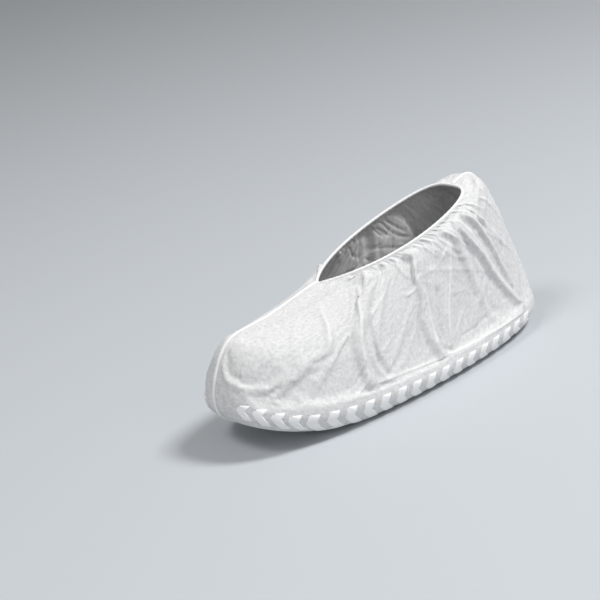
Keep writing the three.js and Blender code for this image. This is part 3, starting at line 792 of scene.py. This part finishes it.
def finish(name, dark, light, rough, fibre=0.3, crumple=0.0, coords="UV", sheen=0.0, dot=700.0,
           specular=0.3, crest_highlight=None):
    """A non-woven or printed finish: the web's density tints the colour and roughens it, and its height and the
    creases feed the bump.
    A painted highlight: where the crease attribute stands high, on the crests of the creases and gathers, the colour
    is mixed towards near white."""
    m = bpy.data.materials.new(name)
    m.use_nodes = True
    t = m.node_tree
    t.nodes.clear()
    out = t.nodes.new("ShaderNodeOutputMaterial")
    skin = t.nodes.new("ShaderNodeBsdfPrincipled")
    skin.inputs["Sheen Weight"].default_value = sheen
    skin.inputs["Sheen Roughness"].default_value = 0.6
    skin.inputs["Specular IOR Level"].default_value = specular
    place = (node(t, "ShaderNodeUVMap", uv_map="cloth").outputs[0] if coords == "UV"
             else node(t, "ShaderNodeTexCoord").outputs["Object"])
    web = node(t, "ShaderNodeGroup", node_tree=FIBRE)
    t.links.new(place, web.inputs["Vector"])
    web.inputs["Dot pitch"].default_value = dot
    ramp = node(t, "ShaderNodeMapRange", {"Value": web.outputs["Density"], "From Min": 0.35, "From Max": 0.65})
    colour = node(t, "ShaderNodeMix", {"Factor": ramp.outputs[0]}, data_type="RGBA")
    colour.inputs["A"].default_value, colour.inputs["B"].default_value = (*dark, 1), (*light, 1)
    shown = colour.outputs["Result"]
    # Painted highlight: the crests of the creases and gathers are mixed towards near white, as if light caught them
    if crest_highlight:
        line = node(t, "ShaderNodeAttribute", attribute_name="crease", attribute_type="GEOMETRY")
        crest_highlight_mask = node(t, "ShaderNodeMapRange", {"Value": line.outputs["Fac"], "From Min": 0.25, "From Max": 1.0,
                                                "To Max": 0.8})
        crest_highlighted = node(t, "ShaderNodeMix", {"Factor": crest_highlight_mask.outputs[0], "A": shown}, data_type="RGBA")
        crest_highlighted.inputs["B"].default_value = (*crest_highlight, 1)
        shown = crest_highlighted.outputs["Result"]
    t.links.new(shown, skin.inputs["Base Color"])
    roughness = node(t, "ShaderNodeMapRange", {"Value": web.outputs["Height"], "To Min": rough + 0.05,
                                               "To Max": rough - 0.08})
    t.links.new(roughness.outputs[0], skin.inputs["Roughness"])
    bump = node(t, "ShaderNodeBump", {"Height": web.outputs["Height"], "Strength": fibre, "Distance": 0.0002})
    if crumple:
        folds = node(t, "ShaderNodeGroup", node_tree=CRUMPLE)
        t.links.new(place, folds.inputs["Vector"])
        soft = node(t, "ShaderNodeBump", {"Height": folds.outputs["Height"],
                                          "Strength": crumple, "Distance": 0.003})
        t.links.new(soft.outputs[0], bump.inputs["Normal"])
    t.links.new(bump.outputs[0], skin.inputs["Normal"])
    t.links.new(skin.outputs[0], out.inputs["Surface"])
    return m


# The cloth's last colour is the near white of the painted highlight on the crease crests
cloth_finish = finish("spunbond_white", (0.56, 0.56, 0.56), (0.82, 0.82, 0.817), 0.9,
                      fibre=0.45, crumple=0.24, sheen=0.1,
                      crest_highlight=(0.84, 0.84, 0.835))
seam_finish = finish("bound_seam", (0.86, 0.86, 0.86), (0.94, 0.94, 0.94), 0.8, fibre=0.3, coords="Object")
elastic_finish = finish("rolled_edge", (0.80, 0.80, 0.80), (0.92, 0.92, 0.92), 0.85, fibre=0.35, coords="Object",
                        sheen=0.1)
print_finish = finish("non_skid_print", (0.93, 0.93, 0.93), (0.97, 0.97, 0.97), 0.62, fibre=0.2, coords="Object",
                      dot=1400.0)

for side, name in ((1, "left"), (-1, "right")):
    cad = [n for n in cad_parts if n.startswith("print_") and f"_{name}_" in n]
    prints[side].data.materials.append(print_finish)
    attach(prints[side], "root")
    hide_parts(*cad)
    panels[side].data.materials.append(cloth_finish)
    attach(panels[side], "root")
    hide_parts(f"side_panel_{name}")
seam.data.materials.append(seam_finish)
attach(seam, "root")
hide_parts("centre_seam")
elastic.data.materials.append(elastic_finish)
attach(elastic, "root")
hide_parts("elastic_edge")

# ---------------------------------------------------------------- floor, light and camera

floor_z = -2.4 * MM


def make_floor():
    """A large square floor just under the print."""
    me = bpy.data.meshes.new("studio_floor")
    s = 6.0
    me.from_pydata([(-s, -s, floor_z), (s, -s, floor_z), (s, s, floor_z), (-s, s, floor_z)], [], [(0, 1, 2, 3)])
    obj = bpy.data.objects.new("studio_floor", me)
    bpy.context.scene.collection.objects.link(obj)
    m = bpy.data.materials.new("pale_floor")
    m.use_nodes = True
    m.node_tree.nodes["Principled BSDF"].inputs["Base Color"].default_value = (0.54, 0.57, 0.60, 1)
    m.node_tree.nodes["Principled BSDF"].inputs["Roughness"].default_value = 0.8
    me.materials.append(m)
    return obj


def area_light(name, place, target, size, watts, colour=(1, 1, 1)):
    """A square soft light aimed at a point."""
    data = bpy.data.lights.new(name, "AREA")
    data.shape, data.size, data.energy, data.color = "SQUARE", size, watts, colour
    obj = bpy.data.objects.new(name, data)
    obj.location = place
    obj.rotation_mode = "QUATERNION"
    obj.rotation_quaternion = (Vector(target) - Vector(place)).to_track_quat("-Z", "Y")
    bpy.context.scene.collection.objects.link(obj)
    return obj


make_floor()
area_light("key_light", (0.1, -1.25, 2.2), (0, 0, 0.05), 0.6, 17)
area_light("top_light", (0.9, 0.9, 2.1), (0, 0, 0.05), 0.6, 43)
area_light("side_fill", (2.2, -0.2, 1.2), (0, 0, 0.05), 1.0, 4)
world = bpy.data.worlds.new("studio_air")
world.use_nodes = True
world.node_tree.nodes["Background"].inputs[0].default_value = (0.90, 0.90, 0.90, 1)
world.node_tree.nodes["Background"].inputs[1].default_value = 0.33
bpy.context.scene.world = world

CAMERA = dict(azimuth=53.62, elevation=20.95, roll=9.91, distance=1319.0, focal=1646.4, across=372.25, down=316.7)


def make_camera():
    """A camera on a sphere round a point 50 mm over the sole, rolled about its axis. focal is its focal
    length for a frame 600 units wide, and across and down are where that point sits in the frame."""
    a, e, r = (math.radians(CAMERA[k]) for k in ("azimuth", "elevation", "roll"))
    back = Vector((math.sin(a) * math.cos(e), -math.cos(a) * math.cos(e), math.sin(e)))
    right = Vector((math.cos(a), math.sin(a), 0))
    up = back.cross(right)
    x = right * math.cos(r) - up * math.sin(r)
    y = right * math.sin(r) + up * math.cos(r)
    data = bpy.data.cameras.new("camera")
    data.sensor_width, data.lens = 36.0, CAMERA["focal"] / 600 * 36.0
    data.shift_x, data.shift_y = (300 - CAMERA["across"]) / 600, (CAMERA["down"] - 300) / 600
    obj = bpy.data.objects.new("camera", data)
    place = Vector((0, 0, 0.05)) + back * CAMERA["distance"] * MM
    obj.matrix_world = Matrix.Translation(place) @ Matrix((x, y, back)).transposed().to_4x4()
    bpy.context.scene.collection.objects.link(obj)
    bpy.context.scene.camera = obj


make_camera()
bpy.context.scene.view_settings.view_transform = "Standard"
